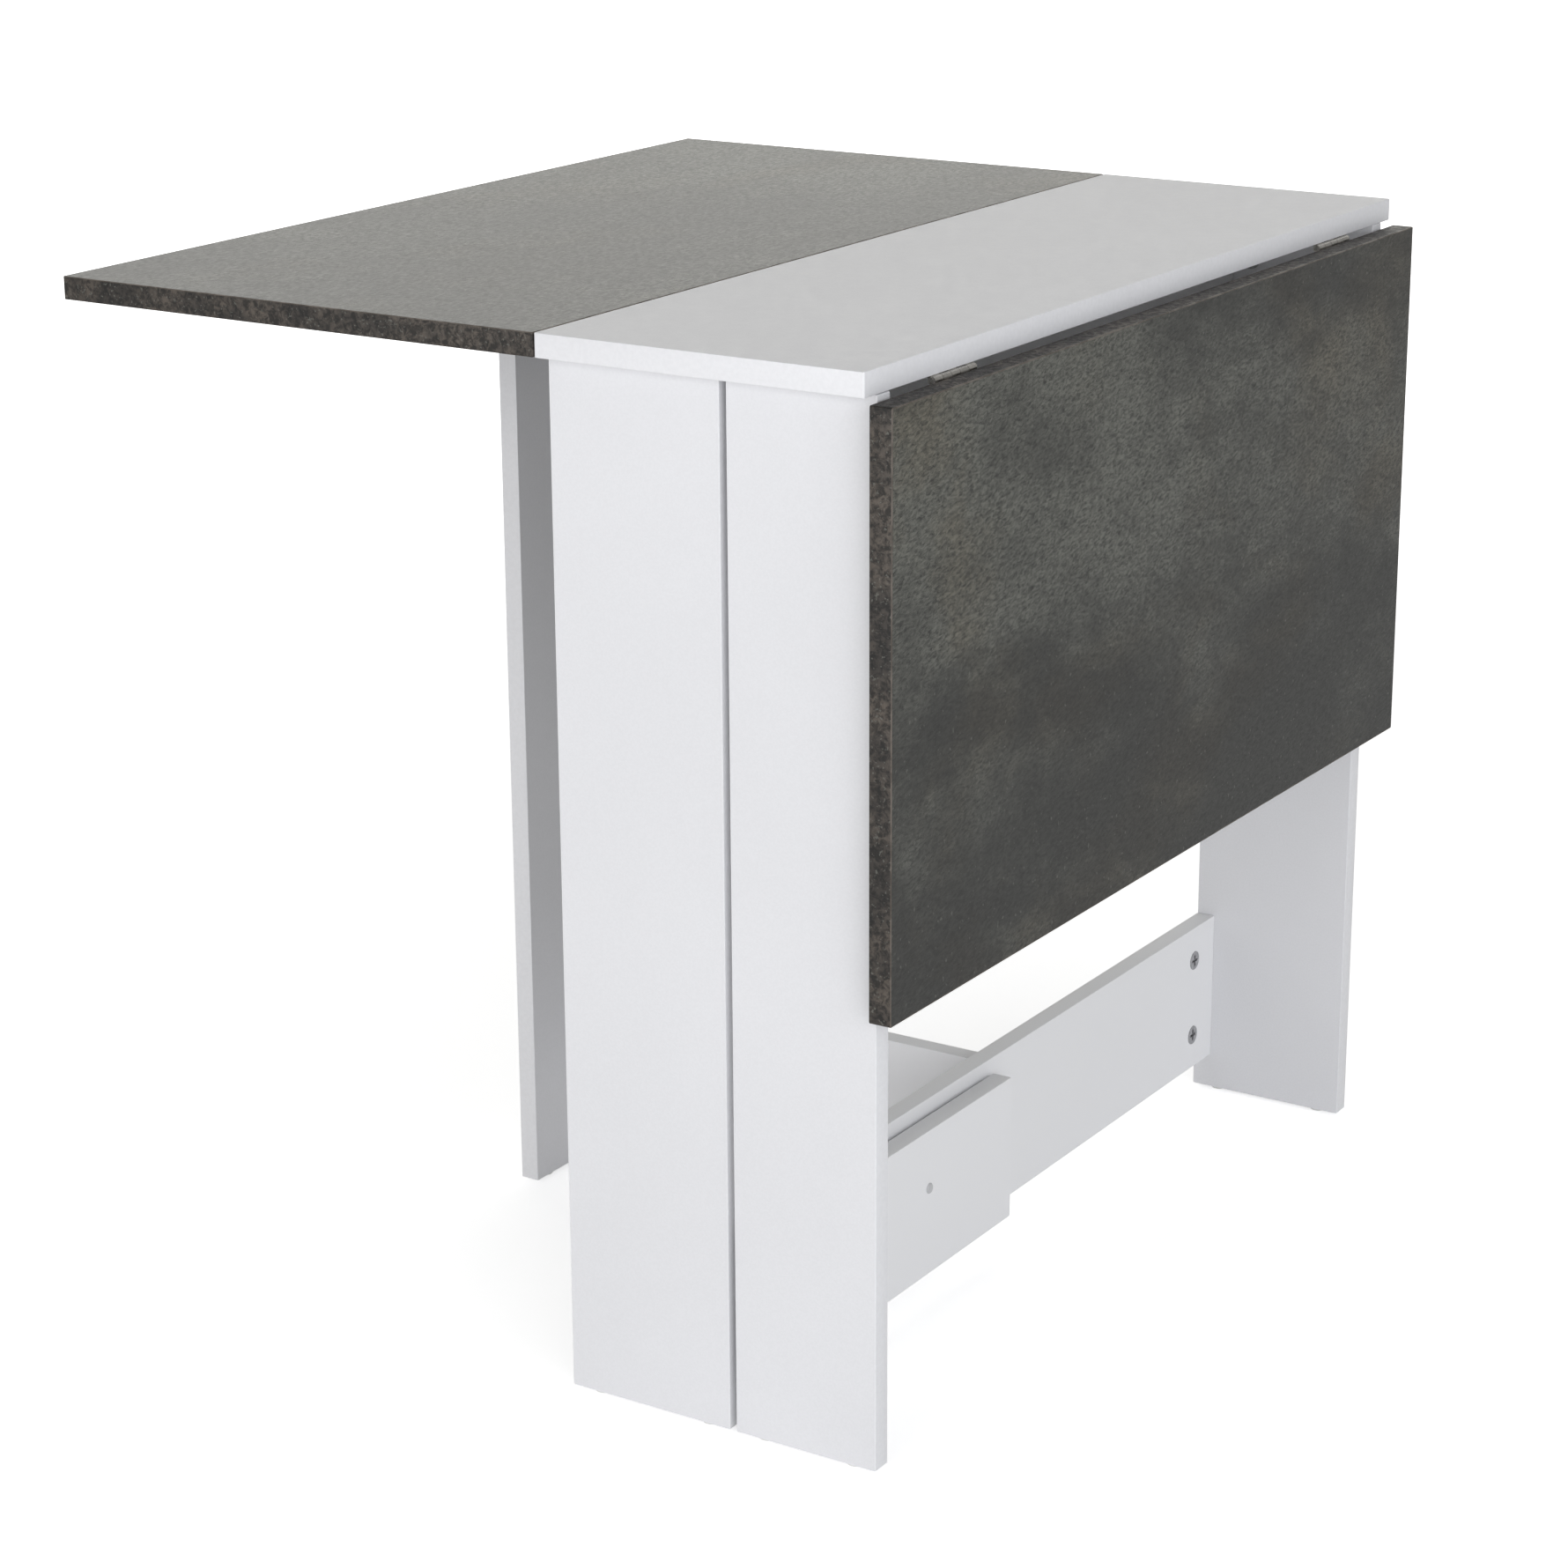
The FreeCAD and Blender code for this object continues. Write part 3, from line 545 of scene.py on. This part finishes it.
def make_board(name, nodes, thin, finishes, boards, holes=()):
    """A board with banded edges: the edge profile carried round its outline, and both faces filled.

    nodes give the board's box, thin is the axis that it is thin along, and finishes are those of its
    faces, edges, corners and under corners. holes are those of cam locks as (a, b, side), with a and b
    along the two axes after thin.
    """
    order, centre, half = board_axes(nodes, thin)
    inset, height = edge_profile(boards, half[2])
    a, b = outline(half, inset, boards.corner_round)
    points = [grid_points(a, b, height[:, None])]
    quads = [ring_quads(len(inset), a.shape[1])]
    floors = []
    start = a.size
    for hole_a, hole_b, side in holes:
        ring_a, ring_b, ring_height = hole_rings(boards, half[2], side)
        rings, count = ring_a.shape
        points.append(grid_points(hole_a - centre[0] + ring_a, hole_b - centre[1] + ring_b, ring_height))
        quads.append(ring_quads(rings, count, start))
        start += ring_a.size
        floors.append(list(range(start - count, start)))
    local = np.concatenate(points) + centre
    place = np.empty_like(local)
    place[:, order] = local
    mesh = bpy.data.meshes.new(name)
    mesh.from_pydata(place.tolist(), [], np.concatenate(quads).tolist() + floors)
    # On the leaves, corner roundings on the plus side are partly painted highlight, the others painted
    # shade.
    bent = np.where(height[:-1] > 0.0, CORNER, UNDER_CORNER)
    strips = np.repeat(np.where(np.diff(inset) == 0.0, EDGE, bent), a.shape[1])
    fill_faces(mesh, thin, (centre[2] - half[2], centre[2] + half[2]), strips.tolist())
    for finish in finishes:
        mesh.materials.append(finish)
    return add_object(name, mesh)


def fill_faces(mesh, thin, levels, strips):
    """Fill a board's two open faces round the rims of its holes, and mark the edge strips' finishes."""
    form = bmesh.new()
    form.from_mesh(mesh)
    form.faces.ensure_lookup_table()
    for index, face in enumerate(form.faces):
        face.material_index = strips[index] if index < len(strips) else FACE
        face.smooth = len(face.verts) == 4
    for level in levels:
        rim = [
            edge
            for edge in form.edges
            if edge.is_boundary and all(abs(vert.co[thin] - level) < FACE_TOLERANCE for vert in edge.verts)
        ]
        filled = bmesh.ops.triangle_fill(form, use_beauty=True, edges=rim)
        for face in filled["geom"]:
            if isinstance(face, bmesh.types.BMFace):
                face.material_index = FACE
                face.smooth = False
    bmesh.ops.recalc_face_normals(form, faces=form.faces)
    form.to_mesh(mesh)
    form.free()


def settle(piece, body, nodes):
    """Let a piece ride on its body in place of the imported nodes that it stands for."""
    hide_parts(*nodes)
    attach(piece, body)


def banded_nodes(name):
    """A banded board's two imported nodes."""
    return [name, f"{name}_edge_band"]


def cam_pair(middle, spacing):
    """Two places evenly to each side of the middle."""
    return middle - 0.5 * spacing, middle + 0.5 * spacing


def middle_of(node, axis):
    """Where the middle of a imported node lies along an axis."""
    low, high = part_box(node)
    return 0.5 * (low[axis] + high[axis])


def panel_holes(node, inner_side, boards):
    """Cam holes near the top of a fixed panel, on its inner face."""
    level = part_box(f"{node}_edge_band")[1][Z] - boards.cam_setback
    middle = middle_of(f"{node}_edge_band", X)
    return [(level, across, inner_side) for across in cam_pair(middle, boards.top_cam_spacing)]


def rail_holes(node, spacing, boards):
    """Cam holes of a rail: at its near end on the left face, at its far end on the right face."""
    low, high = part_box(node)
    levels = cam_pair(middle_of(node, Z), spacing)
    near = low[Y] + boards.cam_setback
    far = high[Y] - boards.cam_setback
    return [(along, level, side) for along, side in ((near, -1), (far, 1)) for level in levels]


def right_arm_holes(node, spacing, boards):
    """Cam holes of a folded-in arm: at its near end, on its right face."""
    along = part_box(node)[0][Y] + boards.cam_setback
    return [(along, level, 1) for level in cam_pair(middle_of(node, Z), spacing)]


def left_arm_holes(node, spacing, boards):
    """Cam holes of a swung-out arm: at its outer end, on the face that has the round cap."""
    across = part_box(node)[0][X] + boards.cam_setback
    cap_side = 1 if middle_of("left_leg_arm_cap", Y) > middle_of(node, Y) else -1
    return [(level, across, cap_side) for level in cam_pair(middle_of(node, Z), spacing)]


class TABLE_OT_white_boards(bpy.types.Operator):
    """Make the centre top, the fixed panels and the leg panels"""

    bl_idname = "table.white_boards"
    bl_label = "White boards"

    def execute(self, context):
        boards = context.scene.table_boards
        colours = context.scene.table_colours
        band = white_edge(colours.white_band[:])
        finishes = (white_melamine(colours.white[:]), band, band, band)
        plan = (
            ("center_top", "frame", Z, []),
            ("near_fixed_panel", "frame", Y, panel_holes("near_fixed_panel", 1, boards)),
            ("far_fixed_panel", "frame", Y, panel_holes("far_fixed_panel", -1, boards)),
            ("left_leg_panel", "left_leg", X, []),
            ("right_leg_panel", "right_leg", Y, []),
        )
        for node, body, thin, holes in plan:
            nodes = banded_nodes(node)
            piece = make_board(f"{node}_board", nodes, thin, finishes, boards, holes)
            settle(piece, body, nodes)
        return {"FINISHED"}


class TABLE_OT_rails_and_arms(bpy.types.Operator):
    """Make the rails and the arms of the leg frames"""

    bl_idname = "table.rails_and_arms"
    bl_label = "Rails and arms"

    def execute(self, context):
        boards = context.scene.table_boards
        band = bpy.data.materials["white_edge_band"]
        finishes = (bpy.data.materials["white_melamine"], band, band, band)
        spacings = {"lower": boards.lower_cam_spacing, "upper": boards.upper_cam_spacing}
        for spot, spacing in spacings.items():
            plan = (
                (f"{spot}_rail", "frame", X, rail_holes),
                (f"right_leg_{spot}_arm", "right_leg", X, right_arm_holes),
                (f"left_leg_{spot}_arm", "left_leg", Y, left_arm_holes),
            )
            for node, body, thin, find_holes in plan:
                holes = find_holes(node, spacing, boards)
                piece = make_board(f"{node}_board", [node], thin, finishes, boards, holes)
                settle(piece, body, [node])
        return {"FINISHED"}


class TABLE_OT_leaves(bpy.types.Operator):
    """Make the two leaves"""

    bl_idname = "table.leaves"
    bl_label = "Leaves"

    def execute(self, context):
        boards = context.scene.table_boards
        colours = context.scene.table_colours
        finishes = (
            stone_laminate(colours),
            stone_edge(colours),
            # The upper corners, in light crumbs and the pale corner tone: partly worn band edge, partly
            # painted highlight.
            stone_corner("concrete_band_corner", colours.crumb_light[:], colours.corner_wear_and_highlight[:]),
            # The under corners, in dark and light crumbs: darker than the upper corners, as painted shade.
            stone_corner("concrete_band_under_corner", colours.crumb_dark[:], colours.crumb_light[:]),
        )
        for node, thin in (("left_leaf", Z), ("right_leaf", X)):
            nodes = banded_nodes(node)
            piece = make_board(f"{node}_board", nodes, thin, finishes, boards)
            settle(piece, node, nodes)
        return {"FINISHED"}


class TABLE_OT_fittings(bpy.types.Operator):
    """Finish the hinges, pins, screws, cam locks, bolts, dowels, glides and caps"""

    bl_idname = "table.fittings"
    bl_label = "Fittings"

    def execute(self, context):
        colours = context.scene.table_colours
        zinc = colours.zinc[:]
        finishes = {
            "_plate": plated_steel("hinge_zinc", zinc, roughness=0.30, grain=PLATE_GRAIN),
            "_pins": plated_steel("pin_zinc", zinc, roughness=0.24),
            "_screws": plated_steel("screw_zinc", zinc, roughness=0.28),
            "_cam_bolts": plated_steel("bolt_zinc", zinc, roughness=0.3),
            "_cam_locks": cast_metal("cam_zinc", colours.cast_zinc[:]),
            "_dowels": beech_wood(colours.beech[:]),
            "_glides": moulded_plastic("glide_plastic", colours.white_plastic[:], roughness=0.45),
            "_arm_cap": moulded_plastic("cap_plastic", colours.grey_plastic[:], roughness=0.4),
        }
        for name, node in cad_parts.items():
            for ending, finish in finishes.items():
                if name.endswith(ending):
                    node.data.materials.clear()
                    node.data.materials.append(finish)
        return {"FINISHED"}


# Studio


def show_and_cast(tree, strength, shown, cast):
    """Give a strength one brightness where it is seen and another where it falls on the table."""
    choice = tree.nodes.new("ShaderNodeMapRange")
    feed(tree, choice.inputs["To Min"], cast)
    feed(tree, choice.inputs["To Max"], shown)
    feed(tree, choice.inputs["Value"], tree.nodes.new("ShaderNodeLightPath").outputs["Is Camera Ray"])
    feed(tree, strength, choice.outputs["Result"])


class TABLE_OT_studio(bpy.types.Operator):
    """Make the floor, the light and the camera"""

    bl_idname = "table.studio"
    bl_label = "Studio"

    def execute(self, context):
        studio = context.scene.table_studio
        self.make_floor(studio)
        self.make_surroundings(context.scene, studio)
        for side, (place, size, tone) in SOFTBOXES.items():
            self.make_softbox(side, getattr(studio, f"{side}_power"), place, size, tone)
        self.make_camera(context.scene, studio)
        context.scene.view_settings.view_transform = "Standard"
        return {"FINISHED"}

    def make_floor(self, studio):
        """A wide pale floor at the height that the table stands on, white from a short way off."""
        mesh = bpy.data.meshes.new("floor")
        sides = ((-1, -1), (1, -1), (1, 1), (-1, 1))
        corners = [(side_x * FLOOR_REACH, side_y * FLOOR_REACH, 0.0) for side_x, side_y in sides]
        mesh.from_pydata(corners, [], [(0, 1, 2, 3)])
        finish = Finish("floor_paint", roughness=0.9)
        finish.colour(studio.floor_colour[:])
        finish.shade("Specular IOR Level", 0.0)
        finish.shade("Emission Color", WHITE)
        away = finish.span(finish.place)
        shown = finish.grade(away, studio.floor_near, studio.floor_far, studio.floor_glow, studio.backdrop)
        strength = finish.shader.inputs["Emission Strength"]
        show_and_cast(finish.tree, strength, shown, studio.floor_bounce)
        mesh.materials.append(finish.material)
        add_object("floor", mesh)

    def make_surroundings(self, scene, studio):
        """Even white surroundings, dimmer as light than as a backdrop."""
        world = bpy.data.worlds.new("studio")
        world.use_nodes = True
        tree = world.node_tree
        background = tree.nodes["Background"]
        feed(tree, background.inputs["Color"], WHITE)
        show_and_cast(tree, background.inputs["Strength"], studio.backdrop, studio.surroundings)
        scene.world = world

    def make_softbox(self, side, watts, place, size, tone):
        """A large rectangular softbox that faces the table."""
        light = bpy.data.lights.new(f"{side}_softbox", "AREA")
        light.shape = "RECTANGLE"
        light.size, light.size_y = size
        light.energy = watts
        light.color = tone
        softbox = add_object(f"{side}_softbox", light)
        softbox.location = place
        facing = Vector(SOFTBOX_AIM) - Vector(place)
        softbox.rotation_euler = facing.to_track_quat("-Z", "Y").to_euler()

    def make_camera(self, scene, studio):
        """The camera at the photographed angle."""
        lens = bpy.data.cameras.new("camera")
        lens.lens = studio.lens
        lens.sensor_width = SENSOR_WIDTH
        lens.clip_end = VIEW_REACH
        camera = add_object("camera", lens)
        turn = Matrix.Rotation(studio.camera_turn, 4, "Z")
        tilt = Matrix.Rotation(QUARTER_TURN - studio.camera_tilt, 4, "X")
        roll = Matrix.Rotation(studio.camera_roll, 4, "Z")
        camera.matrix_world = Matrix.Translation(studio.camera_place) @ turn @ tilt @ roll
        scene.camera = camera


class TABLE_PT_sidebar(bpy.types.Panel):
    """Lists the table's pieces, sizes and colours"""

    bl_idname = "TABLE_PT_sidebar"
    bl_label = "Drop-leaf table"
    bl_space_type = "VIEW_3D"
    bl_region_type = "UI"
    bl_category = "Table"

    def draw(self, context):
        for operator in OPERATORS:
            self.layout.operator(operator.bl_idname)
        for name in GROUPS:
            settings = getattr(context.scene, name)
            for key in settings.__annotations__:
                self.layout.prop(settings, key)


OPERATORS = (
    TABLE_OT_white_boards,
    TABLE_OT_rails_and_arms,
    TABLE_OT_leaves,
    TABLE_OT_fittings,
    TABLE_OT_studio,
)
GROUPS = {"table_boards": TableBoards, "table_colours": TableColours, "table_studio": TableStudio}


def register():
    """Register the classes and give the scene its settings."""
    for each in (*GROUPS.values(), *OPERATORS, TABLE_PT_sidebar):
        bpy.utils.register_class(each)
    for name, group in GROUPS.items():
        setattr(bpy.types.Scene, name, bpy.props.PointerProperty(type=group))


def unregister():
    """Take the settings and the classes away again."""
    for name in GROUPS:
        delattr(bpy.types.Scene, name)
    for each in reversed((*GROUPS.values(), *OPERATORS, TABLE_PT_sidebar)):
        bpy.utils.unregister_class(each)


def main():
    """Make the table piece by piece."""
    register()
    bpy.ops.table.white_boards()
    bpy.ops.table.rails_and_arms()
    bpy.ops.table.leaves()
    bpy.ops.table.fittings()
    bpy.ops.table.studio()


if __name__ == "__main__":
    main()
